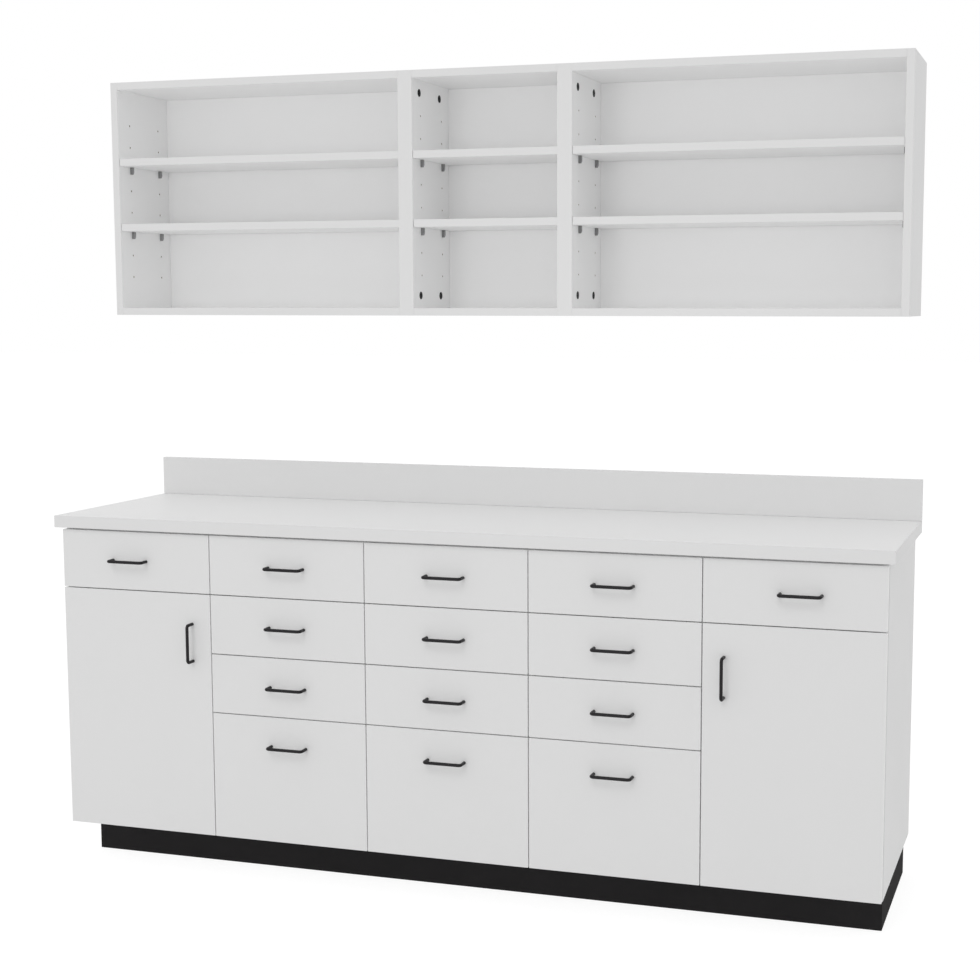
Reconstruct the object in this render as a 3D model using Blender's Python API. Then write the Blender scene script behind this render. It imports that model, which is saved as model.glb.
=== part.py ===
"""Pharmacy cabinet: a base run of drawers and cupboards with an open wall shelf unit above it.

Metres, +Z up. X runs along the cabinet, the fronts face -Y and the floor is z = 0.
The base is a frameless case of laminated board with full-overlay fronts on side-mounted slides
and concealed hinges. The wall unit is three boxes side by side with loose shelves on supports.
"""

import math
from collections import namedtuple

import bmesh
import bpy
from mathutils import Matrix, Vector

# Overall run and the boards of the case
LENGTH = 2.134
DEPTH = 0.559
COLUMNS = 5
PANEL = 0.019
BACK_PANEL = 0.012
RAIL_DEPTH = 0.080
SEAT = 0.0003

# Recessed plinth under the case
KICK_HEIGHT = 0.105
KICK_RECESS = 0.115
KICK_INSET = 0.012
KICK_BOARD = 0.019
KICK_BAYS = 3

# Drawer and door fronts
FRONT_THICK = 0.019
FRONT_GAP = 0.003
END_REVEAL = 0.001
BUMPER_GAP = 0.002
DRAWER_RISE = 0.153
DRAWERS_ABOVE_DEEP = 3
DEEP_RISE = 0.327
TOP_GAP = 0.004

# Worktop and its upstand
COUNTER_THICK = 0.031
COUNTER_END = 0.016
COUNTER_NOSE = 0.0127
SPLASH_HEIGHT = 0.105
SPLASH_THICK = 0.019

# Drawer boxes
BOX_WALL = 0.013
BOX_FLOOR = 0.010
BOX_LIFT = 0.010
BOX_HEADROOM = 0.028
BOX_REAR_SPACE = 0.055

# Side-mounted slides: a channel on the upright and a bar on the drawer
SLIDE_SPACE = 0.0127
SLIDE_CLEAR = 0.001
CHANNEL_HEIGHT = 0.024
CHANNEL_WALL = 0.003
CHANNEL_WEB = 0.002
CHANNEL_START = 0.003
BAR_HEADROOM = 0.0007
BAR_RISE = 0.015

# Concealed hinges
HINGE_FROM_END = 0.100
CUP_DIAMETER = 0.035
CUP_DEPTH = 0.0117
CUP_EDGE = 0.0045
ARM_WIDTH = 0.010
ARM_HEIGHT = 0.014
ARM_LENGTH = 0.060
PLATE_THICK = 0.002
PLATE_HEIGHT = 0.044
PLATE_LENGTH = 0.046

# Bent bar pulls
PULL_CENTRES = 0.096
PULL_BAR = 0.008
PULL_REACH = 0.032
PULL_BEND = 0.007
END_PULL_SHIFT = 0.016
DOOR_PULL_EDGE = 0.051
DOOR_PULL_DROP = 0.127

# Shelves behind the doors
CUPBOARD_SHELF_HEIGHT = 0.310
CUPBOARD_SHELF_SETBACK = 0.040
SHELF_THICK = 0.019
SHELF_SIDE_GAP = 0.001
SHELF_REAR_GAP = 0.002
SUPPORT_WIDTH = 0.008
SUPPORT_REACH = 0.008
SUPPORT_HEIGHT = 0.020
SUPPORT_INSET = 0.060

# Wall shelf unit
WALL_BOTTOM = 1.443
WALL_HEIGHT = 0.620
WALL_DEPTH = 0.267
WALL_BACK = 0.010
WALL_SHELF_SETBACK = 0.003
LOWER_SHELF = 0.226
UPPER_SHELF = 0.400

# Facets on small round parts
CUP_SIDES = 32
BEND_STEPS = 5
PULL_RESOLUTION = 2
ROOT_OVERLAP = 0.002

# Places worked out from the sizes above
FACE_Y = (max(PULL_REACH, COUNTER_NOSE) - DEPTH) / 2
WALL_Y = FACE_Y + DEPTH
CASE_Y = FACE_Y + FRONT_THICK + BUMPER_GAP
LEFT = -LENGTH / 2
RIGHT = LENGTH / 2
COLUMN = LENGTH / COLUMNS
FRONTS_TOP = KICK_HEIGHT + DEEP_RISE + DRAWERS_ABOVE_DEEP * DRAWER_RISE
CASE_TOP = FRONTS_TOP + TOP_GAP
COUNTER_BOTTOM = CASE_TOP + SEAT
COUNTER_TOP = COUNTER_BOTTOM + COUNTER_THICK
DECK_TOP = KICK_HEIGHT + PANEL
BACK_Y = WALL_Y - BACK_PANEL
BOX_END_Y = BACK_Y - BOX_REAR_SPACE
BAR_HEIGHT = CHANNEL_HEIGHT - 2 * CHANNEL_WALL - SEAT - BAR_HEADROOM
CUPBOARD_TOP = FRONTS_TOP - DRAWER_RISE
WALL_FRONT_Y = WALL_Y - WALL_DEPTH

Box = namedtuple("Box", "x y z")
Rod = namedtuple("Rod", "start end radius sides")


def add_shape(bm, shape):
    """Add one box or one rod to a mesh under construction."""
    if isinstance(shape, Box):
        low = Vector([side[0] for side in shape])
        high = Vector([side[1] for side in shape])
        verts = bmesh.ops.create_cube(bm, size=1.0)["verts"]
        bmesh.ops.scale(bm, vec=high - low, verts=verts)
        bmesh.ops.translate(bm, vec=(low + high) / 2, verts=verts)
        return
    start = Vector(shape.start)
    end = Vector(shape.end)
    turn = Vector((0, 0, 1)).rotation_difference(end - start).to_matrix().to_4x4()
    bmesh.ops.create_cone(
        bm,
        cap_ends=True,
        segments=shape.sides,
        radius1=shape.radius,
        radius2=shape.radius,
        depth=(end - start).length,
        matrix=Matrix.Translation((start + end) / 2) @ turn,
    )


def shape_object(name, shapes):
    """A mesh object holding the given boxes and rods."""
    bm = bmesh.new()
    for shape in shapes:
        add_shape(bm, shape)
    mesh = bpy.data.meshes.new(name)
    bm.to_mesh(mesh)
    bm.free()
    piece = bpy.data.objects.new(name, mesh)
    bpy.context.collection.objects.link(piece)
    return piece


def combine(piece, operation, shapes):
    """Join shapes to a piece or cut them out of it, and keep the resulting mesh."""
    tool = shape_object(piece.name + "_tool", shapes)
    boolean = piece.modifiers.new(operation.title(), "BOOLEAN")
    boolean.operation = operation
    boolean.solver = "EXACT"
    boolean.object = tool
    depsgraph = bpy.context.evaluated_depsgraph_get()
    result = bpy.data.meshes.new_from_object(piece.evaluated_get(depsgraph))
    plain = piece.data
    piece.modifiers.clear()
    piece.data = result
    result.name = piece.name
    tool_mesh = tool.data
    bpy.data.objects.remove(tool)
    bpy.data.meshes.remove(tool_mesh)
    bpy.data.meshes.remove(plain)


def solid(name, material, base, steps=(), origin=None, parent=None):
    """One named piece: a base box, then joins and cuts in order, placed by its origin."""
    piece = shape_object(name, [base])
    for operation, shapes in steps:
        combine(piece, operation, shapes)
    middle = [sum(side) / 2 for side in base]
    origin = Vector(middle if origin is None else origin)
    piece.data.transform(Matrix.Translation(-origin))
    piece.data.materials.clear()
    piece.data.materials.append(material)
    piece.location = origin
    piece.parent = parent
    return piece


def surface(name, colour, roughness, metallic=0.0):
    """A plain Principled material."""
    material = bpy.data.materials.new(name)
    material.use_nodes = True
    shader = material.node_tree.nodes["Principled BSDF"]
    shader.inputs["Base Color"].default_value = (*colour, 1.0)
    shader.inputs["Roughness"].default_value = roughness
    shader.inputs["Metallic"].default_value = metallic
    return material


def column_edge(index):
    """X of the line between columns, 0 at the left end."""
    return LEFT + index * COLUMN


def clear_width(column):
    """X range between the faces of the uprights on each side of a column."""
    left = LEFT + PANEL if column == 0 else column_edge(column) + PANEL / 2
    right = RIGHT - PANEL if column == COLUMNS - 1 else column_edge(column + 1) - PANEL / 2
    return left, right


def front_width(column):
    """X range of a front, flush with the case at the ends of the run."""
    left = LEFT + END_REVEAL if column == 0 else column_edge(column) + FRONT_GAP / 2
    right = RIGHT - END_REVEAL if column == COLUMNS - 1 else column_edge(column + 1) - FRONT_GAP / 2
    return left, right


def drawer_rises(column):
    """Z ranges of the drawer openings in a column, top first."""
    rises = [
        (FRONTS_TOP - (row + 1) * DRAWER_RISE, FRONTS_TOP - row * DRAWER_RISE)
        for row in range(DRAWERS_ABOVE_DEEP)
    ]
    if column in (0, COLUMNS - 1):
        return rises[:1]
    return rises + [(KICK_HEIGHT, KICK_HEIGHT + DEEP_RISE)]


def box_bottom(rise):
    """Underside of the drawer box in an opening, clear of the deck."""
    return rise[0] + PANEL + BOX_LIFT


def bar_range(rise):
    """Z range of the slide bar on a drawer."""
    low = box_bottom(rise) + BAR_RISE
    return low, low + BAR_HEIGHT


def slide_channel(face, inward, rise):
    """The channel on an upright's face and the groove in it; inward is +1 or -1 along X."""
    bottom = bar_range(rise)[0] - SEAT - CHANNEL_WALL
    edge = face + inward * (SLIDE_SPACE - SLIDE_CLEAR)
    web = face + inward * CHANNEL_WEB
    channel = Box(
        sorted((face - inward * ROOT_OVERLAP, edge)),
        (CASE_Y + CHANNEL_START, BOX_END_Y),
        (bottom, bottom + CHANNEL_HEIGHT),
    )
    groove = Box(
        sorted((web, edge + inward * ROOT_OVERLAP)),
        (CASE_Y, BOX_END_Y + ROOT_OVERLAP),
        (bottom + CHANNEL_WALL, bottom + CHANNEL_HEIGHT - CHANNEL_WALL),
    )
    return channel, groove


def shelf_supports(face, inward, shelf_bottom, front_y, rear_y):
    """The front and rear supports plugged into an upright under one end of a shelf."""
    top = shelf_bottom - SEAT
    return [
        Box(
            sorted((face - inward * ROOT_OVERLAP, face + inward * SUPPORT_REACH)),
            (y - SUPPORT_WIDTH / 2, y + SUPPORT_WIDTH / 2),
            (top - SUPPORT_HEIGHT, top),
        )
        for y in (front_y + SUPPORT_INSET, rear_y - SUPPORT_INSET)
    ]


def upright_fittings(face, inward, column):
    """Channels, grooves and shelf supports on the face of an upright toward a column."""
    joins = []
    cuts = []
    for rise in drawer_rises(column):
        channel, groove = slide_channel(face, inward, rise)
        joins.append(channel)
        cuts.append(groove)
    if column in (0, COLUMNS - 1):
        shelf_bottom = KICK_HEIGHT + CUPBOARD_SHELF_HEIGHT
        shelf_front = CASE_Y + CUPBOARD_SHELF_SETBACK
        joins += shelf_supports(face, inward, shelf_bottom, shelf_front, BACK_Y)
    return joins, cuts


def build_plinth(material, cabinet):
    """Recessed ladder frame that carries the case, open between its boards."""
    x = (LEFT + KICK_INSET, RIGHT - KICK_INSET)
    y = (FACE_Y + KICK_RECESS, WALL_Y)
    pitch = (x[1] - x[0] - KICK_BOARD) / KICK_BAYS
    cells = []
    for bay in range(KICK_BAYS):
        left = x[0] + bay * pitch + KICK_BOARD
        cells.append(
            Box(
                (left, left + pitch - KICK_BOARD),
                (y[0] + KICK_BOARD, y[1] - KICK_BOARD),
                (-KICK_BOARD, KICK_HEIGHT + KICK_BOARD),
            )
        )
    base = Box(x, y, (0, KICK_HEIGHT - SEAT))
    solid("kick_base", material, base, [("DIFFERENCE", cells)], parent=cabinet)


def build_case(material, cabinet):
    """End panels, partitions, deck, back and front rail of the base."""
    side_z = (KICK_HEIGHT, CASE_TOP)
    for name, x, face, inward, column in (
        ("end_panel_left", (LEFT, LEFT + PANEL), LEFT + PANEL, 1, 0),
        ("end_panel_right", (RIGHT - PANEL, RIGHT), RIGHT - PANEL, -1, COLUMNS - 1),
    ):
        joins, cuts = upright_fittings(face, inward, column)
        steps = [("UNION", joins), ("DIFFERENCE", cuts)]
        solid(name, material, Box(x, (CASE_Y, WALL_Y), side_z), steps, parent=cabinet)

    rail_y = (CASE_Y, CASE_Y + RAIL_DEPTH)
    rail_z = (CASE_TOP - PANEL, CASE_TOP)
    for index in range(1, COLUMNS):
        x = (column_edge(index) - PANEL / 2, column_edge(index) + PANEL / 2)
        left_joins, left_cuts = upright_fittings(x[0], -1, index - 1)
        right_joins, right_cuts = upright_fittings(x[1], 1, index)
        notch = Box(
            (x[0] - PANEL, x[1] + PANEL),
            (rail_y[0] - PANEL, rail_y[1] + SEAT),
            (rail_z[0] - SEAT, rail_z[1] + PANEL),
        )
        steps = [
            ("UNION", left_joins + right_joins),
            ("DIFFERENCE", left_cuts + right_cuts + [notch]),
        ]
        base = Box(x, (CASE_Y, BACK_Y - SEAT), (DECK_TOP + SEAT, CASE_TOP))
        solid(f"partition_{index}", material, base, steps, parent=cabinet)

    inner_x = (LEFT + PANEL + SEAT, RIGHT - PANEL - SEAT)
    solid("deck", material, Box(inner_x, (CASE_Y, BACK_Y - SEAT), (KICK_HEIGHT, DECK_TOP)), parent=cabinet)
    solid("case_back", material, Box(inner_x, (BACK_Y, WALL_Y), side_z), parent=cabinet)
    solid("front_rail", material, Box(inner_x, rail_y, rail_z), parent=cabinet)


def build_worktop(material, cabinet):
    """Overhanging worktop and the upstand along the wall."""
    x = (LEFT - COUNTER_END, RIGHT + COUNTER_END)
    top = Box(x, (FACE_Y - COUNTER_NOSE, WALL_Y), (COUNTER_BOTTOM, COUNTER_TOP))
    solid("countertop", material, top, parent=cabinet)
    splash_z = COUNTER_TOP + SEAT
    splash = Box(x, (WALL_Y - SPLASH_THICK, WALL_Y), (splash_z, splash_z + SPLASH_HEIGHT))
    solid("backsplash", material, splash, parent=cabinet)


def build_drawer(name, material, column, rise, cabinet):
    """A drawer: overlay front, box and the slide bars on its sides, sliding along Y."""
    front_x = front_width(column)
    front_z = (rise[0] + FRONT_GAP / 2, rise[1] - FRONT_GAP / 2)
    front = Box(front_x, (FACE_Y, FACE_Y + FRONT_THICK), front_z)
    clear = clear_width(column)
    box_x = (clear[0] + SLIDE_SPACE, clear[1] - SLIDE_SPACE)
    box_z = (box_bottom(rise), rise[1] - BOX_HEADROOM)
    front_back = FACE_Y + FRONT_THICK
    shell = Box(box_x, (front_back - ROOT_OVERLAP, BOX_END_Y), box_z)
    bar_end = SLIDE_SPACE - CHANNEL_WEB - SLIDE_CLEAR
    bars = [
        Box(x, (CASE_Y + CHANNEL_START, BOX_END_Y - ROOT_OVERLAP), bar_range(rise))
        for x in (
            (box_x[0] - bar_end, box_x[0] + ROOT_OVERLAP),
            (box_x[1] - ROOT_OVERLAP, box_x[1] + bar_end),
        )
    ]
    inside = Box(
        (box_x[0] + BOX_WALL, box_x[1] - BOX_WALL),
        (front_back + BOX_WALL, BOX_END_Y - BOX_WALL),
        (box_z[0] + BOX_FLOOR, box_z[1] + BOX_HEADROOM),
    )
    origin = (sum(front_x) / 2, FACE_Y, sum(front_z) / 2)
    steps = [("UNION", [shell]), ("UNION", bars), ("DIFFERENCE", [inside])]
    return solid(name, material, front, steps, origin, cabinet)


def hinge_heights():
    """Heights of the hinges on a door."""
    return KICK_HEIGHT + HINGE_FROM_END, CUPBOARD_TOP - HINGE_FROM_END


def build_door(name, material, column, cabinet):
    """A door bored for its hinge cups, with its origin on the hinge axis at the outer edge."""
    x = front_width(column)
    z = (KICK_HEIGHT + FRONT_GAP / 2, CUPBOARD_TOP - FRONT_GAP / 2)
    hinge_x, inward = (x[0], 1) if column == 0 else (x[1], -1)
    cup_x = hinge_x + inward * (CUP_EDGE + CUP_DIAMETER / 2)
    cup_floor = FACE_Y + FRONT_THICK - CUP_DEPTH
    cups = [
        Rod(
            (cup_x, cup_floor, height),
            (cup_x, cup_floor + 2 * CUP_DEPTH, height),
            CUP_DIAMETER / 2,
            CUP_SIDES,
        )
        for height in hinge_heights()
    ]
    front = Box(x, (FACE_Y, FACE_Y + FRONT_THICK), z)
    origin = (hinge_x, FACE_Y, sum(z) / 2)
    return solid(name, material, front, [("DIFFERENCE", cups)], origin, cabinet)


def build_hinge(name, material, column, height, cabinet):
    """Hinge arm from the door's cup to its plate on the end panel."""
    face, inward = (LEFT + PANEL, 1) if column == 0 else (RIGHT - PANEL, -1)
    plate_x = sorted((face + inward * SEAT, face + inward * (PLATE_THICK + ROOT_OVERLAP)))
    arm_x = sorted((face + inward * PLATE_THICK, face + inward * (PLATE_THICK + ARM_WIDTH)))
    tip_y = FACE_Y + FRONT_THICK - CUP_DEPTH + SEAT
    arm = Box(arm_x, (tip_y, tip_y + ARM_LENGTH), (height - ARM_HEIGHT / 2, height + ARM_HEIGHT / 2))
    plate_end = tip_y + ARM_LENGTH + ROOT_OVERLAP
    plate = Box(
        plate_x,
        (plate_end - PLATE_LENGTH, plate_end),
        (height - PLATE_HEIGHT / 2, height + PLATE_HEIGHT / 2),
    )
    solid(name, material, arm, [("UNION", [plate])], parent=cabinet)


def pull_curve():
    """Bent bar: two legs and a grip, lying in the XY plane with its feet toward +Y."""
    half = PULL_CENTRES / 2
    reach = PULL_REACH - PULL_BAR / 2
    points = [(-half, -SEAT)]
    for side, first in ((-1, math.pi), (1, 1.5 * math.pi)):
        centre = Vector((side * (half - PULL_BEND), PULL_BEND - reach))
        for step in range(BEND_STEPS + 1):
            angle = first + step * math.pi / 2 / BEND_STEPS
            points.append(tuple(centre + PULL_BEND * Vector((math.cos(angle), math.sin(angle)))))
    points.append((half, -SEAT))
    curve = bpy.data.curves.new("pull_bar", "CURVE")
    curve.dimensions = "3D"
    curve.bevel_depth = PULL_BAR / 2
    curve.bevel_resolution = PULL_RESOLUTION
    curve.use_fill_caps = True
    spline = curve.splines.new("POLY")
    spline.points.add(len(points) - 1)
    for point, (x, y) in zip(spline.points, points):
        point.co = (x, y, 0, 1)
    spline.use_smooth = True
    return curve


def build_pull(name, curve, place, front, upright=False):
    """A pull on a front, moving with it."""
    pull = bpy.data.objects.new(name, curve)
    bpy.context.collection.objects.link(pull)
    pull.parent = front
    pull.location = Vector(place) - front.location
    pull.rotation_euler = (0, math.pi / 2 if upright else 0, 0)


def build_fronts(fronts, metal, black, cabinet):
    """Every drawer and door with its pull, and the hinges."""
    curve = pull_curve()
    curve.materials.append(black)
    for column in range(COLUMNS):
        shift = {0: -END_PULL_SHIFT, COLUMNS - 1: END_PULL_SHIFT}.get(column, 0.0)
        middle = sum(front_width(column)) / 2 + shift
        for row, rise in enumerate(drawer_rises(column)):
            label = f"{column + 1}_{row + 1}"
            drawer = build_drawer(f"drawer_{label}", fronts, column, rise, cabinet)
            place = (middle, FACE_Y, rise[1] - DRAWER_RISE / 2)
            build_pull(f"pull_{label}", curve, place, drawer)
    for side, column in (("left", 0), ("right", COLUMNS - 1)):
        door = build_door(f"door_{side}", fronts, column, cabinet)
        x = front_width(column)
        pull_x = x[1] - DOOR_PULL_EDGE if column == 0 else x[0] + DOOR_PULL_EDGE
        place = (pull_x, FACE_Y, CUPBOARD_TOP - DOOR_PULL_DROP)
        build_pull(f"pull_door_{side}", curve, place, door, upright=True)
        for level, height in zip(("lower", "upper"), hinge_heights()):
            build_hinge(f"hinge_{side}_{level}", metal, column, height, cabinet)


def build_cupboard_shelves(material, cabinet):
    """One loose shelf behind each door, on its supports."""
    for side, column in (("left", 0), ("right", COLUMNS - 1)):
        clear = clear_width(column)
        bottom = KICK_HEIGHT + CUPBOARD_SHELF_HEIGHT
        shelf = Box(
            (clear[0] + SHELF_SIDE_GAP, clear[1] - SHELF_SIDE_GAP),
            (CASE_Y + CUPBOARD_SHELF_SETBACK, BACK_Y - SHELF_REAR_GAP),
            (bottom, bottom + SHELF_THICK),
        )
        solid(f"cupboard_shelf_{side}", material, shelf, parent=cabinet)


def build_wall_unit(material, cabinet):
    """Three open boxes side by side, each with two loose shelves on supports."""
    z = (WALL_BOTTOM, WALL_BOTTOM + WALL_HEIGHT)
    inner_back = WALL_Y - WALL_BACK
    for name, first, last in (("left", 0, 2), ("centre", 2, 3), ("right", 3, COLUMNS)):
        x = (column_edge(first) + SEAT / 2, column_edge(last) - SEAT / 2)
        inner_x = (x[0] + PANEL, x[1] - PANEL)
        inside = Box(
            inner_x,
            (WALL_FRONT_Y - PANEL, inner_back),
            (z[0] + PANEL, z[1] - PANEL),
        )
        supports = []
        for level, rise in (("lower", LOWER_SHELF), ("upper", UPPER_SHELF)):
            bottom = WALL_BOTTOM + rise
            for face, inward in ((inner_x[0], 1), (inner_x[1], -1)):
                supports += shelf_supports(face, inward, bottom, WALL_FRONT_Y, WALL_Y)
            shelf = Box(
                (inner_x[0] + SHELF_SIDE_GAP, inner_x[1] - SHELF_SIDE_GAP),
                (WALL_FRONT_Y + WALL_SHELF_SETBACK, inner_back - SHELF_REAR_GAP),
                (bottom, bottom + SHELF_THICK),
            )
            solid(f"wall_shelf_{name}_{level}", material, shelf, parent=cabinet)
        steps = [("DIFFERENCE", [inside]), ("UNION", supports)]
        solid(f"wall_box_{name}", material, Box(x, (WALL_FRONT_Y, WALL_Y), z), steps, parent=cabinet)


def main():
    """Clear the scene and build the cabinet."""
    for old in list(bpy.data.objects):
        bpy.data.objects.remove(old)
    board = surface("board_laminate", (0.72, 0.72, 0.72), 0.45)
    fronts = surface("front_laminate", (0.74, 0.74, 0.74), 0.42)
    worktop = surface("worktop_laminate", (0.76, 0.76, 0.76), 0.38)
    plinth = surface("plinth_black", (0.016, 0.016, 0.018), 0.55)
    black = surface("pull_black", (0.016, 0.016, 0.018), 0.40, 0.6)
    metal = surface("hinge_nickel", (0.62, 0.61, 0.59), 0.30, 1.0)

    cabinet = bpy.data.objects.new("cabinet", None)
    bpy.context.collection.objects.link(cabinet)
    build_plinth(plinth, cabinet)
    build_case(board, cabinet)
    build_worktop(worktop, cabinet)
    build_fronts(fronts, metal, black, cabinet)
    build_cupboard_shelves(board, cabinet)
    build_wall_unit(board, cabinet)


main()
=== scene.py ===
import math

import bmesh
import bpy
from bpy.props import FloatProperty, FloatVectorProperty, IntProperty, PointerProperty
from mathutils import Matrix, Vector


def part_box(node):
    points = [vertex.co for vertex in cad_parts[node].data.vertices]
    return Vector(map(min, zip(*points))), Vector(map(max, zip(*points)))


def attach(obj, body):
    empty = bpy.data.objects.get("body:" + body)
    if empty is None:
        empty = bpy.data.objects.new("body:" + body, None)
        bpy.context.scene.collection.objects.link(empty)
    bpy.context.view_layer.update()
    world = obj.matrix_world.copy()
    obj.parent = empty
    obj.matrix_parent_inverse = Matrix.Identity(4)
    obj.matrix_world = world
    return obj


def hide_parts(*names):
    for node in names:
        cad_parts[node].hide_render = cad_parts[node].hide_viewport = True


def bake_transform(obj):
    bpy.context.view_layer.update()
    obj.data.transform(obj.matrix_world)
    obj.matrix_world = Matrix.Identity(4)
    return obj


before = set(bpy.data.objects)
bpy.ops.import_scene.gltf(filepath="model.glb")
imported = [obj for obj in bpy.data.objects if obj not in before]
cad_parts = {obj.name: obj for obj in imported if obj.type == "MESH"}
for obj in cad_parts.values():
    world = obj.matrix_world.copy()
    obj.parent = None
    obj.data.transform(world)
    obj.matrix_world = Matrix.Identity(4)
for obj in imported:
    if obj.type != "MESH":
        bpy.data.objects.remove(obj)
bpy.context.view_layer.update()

bl_info = {
    "name": "Pharmacy cabinet with wall shelves",
    "version": (1, 0, 0),
    "blender": (4, 5, 0),
    "location": "View3D > Sidebar > Cabinet",
    "description": "Laminate base cabinet, worktop and open wall shelves on a packed frame",
    "category": "Object",
}

# Places read from the frame
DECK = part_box("deck")
END_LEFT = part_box("end_panel_left")
END_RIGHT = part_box("end_panel_right")
CASE_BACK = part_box("case_back")
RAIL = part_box("front_rail")
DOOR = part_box("door_left")
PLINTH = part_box("kick_base")
LEFT = END_LEFT[0].x
RIGHT = END_RIGHT[1].x
PANEL = DECK[1].z - DECK[0].z
CASE_Y = DECK[0].y
REAR_Y = CASE_BACK[1].y
FACE_Y = DOOR[0].y
FRONT_BACK_Y = DOOR[1].y
WALL_BOXES = ("left", "centre", "right")
SHELF_LEVELS = ("lower", "upper")
DOORS = {"left": 1, "right": -1}
DRAWERS = sorted(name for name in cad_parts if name.startswith("drawer_"))
PARTITIONS = sorted(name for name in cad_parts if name.startswith("partition_"))


def board_width(node):
    """X range of a partition's board, whose fittings stand out equally on both sides."""
    low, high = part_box(node)
    middle = (low.x + high.x) / 2
    return middle - PANEL / 2, middle + PANEL / 2


UPRIGHTS = [
    (LEFT, LEFT + PANEL),
    *[board_width(node) for node in PARTITIONS],
    (RIGHT - PANEL, RIGHT),
]
BAYS = [(first[1], second[0]) for first, second in zip(UPRIGHTS, UPRIGHTS[1:])]
LAST_BAY = len(BAYS) - 1


def bay_of(drawer):
    """X range of the column that a drawer is in."""
    return BAYS[int(drawer.split("_")[1]) - 1]


def hinge_face(way):
    """X of the end panel's inner face that a door's hinges stand on."""
    return LEFT + PANEL if way > 0 else RIGHT - PANEL


# Finish slots on a board: broad faces, thin edges, what a drill leaves bare, and inside faces
# given a lighter white as painted light against their shade
FACE, BAND, BARE, PAINTED_LIGHT_INSIDE = 0, 1, 2, 3

# A face looks along a direction when its normal has more than this share of it
FLAT = 0.99

# Edges with a sharper turn than this stay crisp on a rounded piece
ROUND = math.radians(40)

# Toward the wall, the way that parts on the back of a board stand
REARWARD = (0, 1, 0)

# Nearness at which two places are the same
NEAR = 1e-6


def length(name, description, default):
    """A length that a user may change."""
    return FloatProperty(
        name=name,
        description=description,
        default=default,
        min=0.0,
        precision=4,
        subtype="DISTANCE",
        unit="LENGTH",
    )


def colour(name, description, default):
    """A colour that a user may change."""
    return FloatVectorProperty(
        name=name,
        description=description,
        default=default,
        size=3,
        min=0.0,
        max=1.0,
        subtype="COLOR",
    )


def level(name, description, default):
    """A plain number that a user may change."""
    return FloatProperty(name=name, description=description, default=default, min=0.0)


def count(name, description, default):
    """A whole number that a user may change."""
    return IntProperty(name=name, description=description, default=default, min=1)


class CabinetSizes(bpy.types.PropertyGroup):
    """Sizes of the details that the frame leaves plain."""

    ease: length("Eased edge", "Rounding along the edges of the boards", 0.0008)
    front_ease: length("Front edge", "Rounding along the fronts' edges", 0.0003)
    wall_ease: length("Wall unit edge", "Rounding along the wall unit's edges", 0.0001)
    worktop_ease: length("Worktop edge", "Rounding along the worktop's edges", 0.0012)
    seam: length("Seam", "Gap between two boards that meet", 0.0002)
    wall_back: length("Wall unit back", "Thickness of the wall unit's back board", 0.010)
    kick_board: length("Plinth board", "Thickness of the plinth's boards", 0.019)
    hole: length("Shelf hole", "Diameter of the holes for shelf supports", 0.005)
    hole_depth: length("Shelf hole depth", "Depth of the holes for shelf supports", 0.011)
    hole_row: length("Hole row", "From the board's front or rear edge to its holes", 0.060)
    hole_first: length("First hole", "From the wall unit's bottom to the first hole", 0.1035)
    hole_pitch: length("Hole pitch", "Height from one shelf hole to the next", 0.0582)
    hole_count: count("Hole count", "Holes in each row of the wall unit", 8)
    support_width: length("Support width", "Width of a shelf support", 0.008)
    support_reach: length("Support reach", "How far a support stands out", 0.008)
    support_height: length("Support height", "Height of a shelf support", 0.019)
    support_pin: length("Support pin", "From the top of a support down to its pin", 0.006)
    bolt_head: length("Bolt head", "Diameter of the connecting bolts' heads", 0.0198)
    bolt_proud: length("Bolt head height", "How far a bolt's head stands out", 0.0008)
    bolt_front: length("Bolt front row", "From the wall unit's front to its front bolts", 0.051)
    bolt_rear: length("Bolt rear row", "From the wall unit's rear to its rear bolts", 0.075)
    bolt_row: length("Bolt row", "From the wall unit's top or bottom to its bolts", 0.0517)
    box_wall: length("Drawer wall", "Thickness of a drawer box's walls", 0.013)
    box_floor: length("Drawer floor", "Thickness of a drawer box's bottom", 0.010)
    box_rise: length("Drawer box rise", "From a front's bottom to its box", 0.0275)
    box_drop: length("Drawer box drop", "From a front's top to its box", 0.0265)
    slide_space: length("Slide space", "Space for a slide beside a drawer box", 0.0127)
    slide_height: length("Slide height", "Height of the slide's fixed channel", 0.024)
    slide_reach: length("Slide reach", "How far the fixed channel stands out", 0.0117)
    slide_sheet: length("Slide sheet", "Thickness of the slides' folded steel", 0.0012)
    slide_lip: length("Slide lip", "Height of the lips along a slide's open side", 0.0028)
    slide_start: length("Slide start", "From the case's front to a slide's end", 0.003)
    runner_reach: length("Runner reach", "How far a runner stands out from its box", 0.0090)
    bar_rise: length("Slide rise", "From a drawer box's bottom to its runner", 0.015)
    bar_height: length("Runner height", "Height of the runner on a drawer box", 0.017)
    cup: length("Hinge cup", "Diameter of the hinge cups", 0.035)
    cup_depth: length("Cup depth", "Depth of the hinge cups", 0.0117)
    cup_edge: length("Cup edge", "From a door's edge to its hinge cups", 0.0045)
    link_sheet: length("Link sheet", "Thickness of the hinges' link plates", 0.0016)
    link_width: length("Link width", "Width of the hinges' link plates", 0.0046)
    link_apart: length("Links apart", "Space between the two links of a hinge", 0.0094)
    link_root: length("Link root", "From a link's end in the cup to its end on the arm", 0.0130)
    link_steps: count("Link steps", "Cuts along a link, so that it swings smoothly", 24)
    pull_bend: length("Pull bend", "Radius of the bends in a pull, to the bar's middle", 0.007)
    screw: length("Screw head", "Diameter of the small screws' heads", 0.0075)


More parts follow.
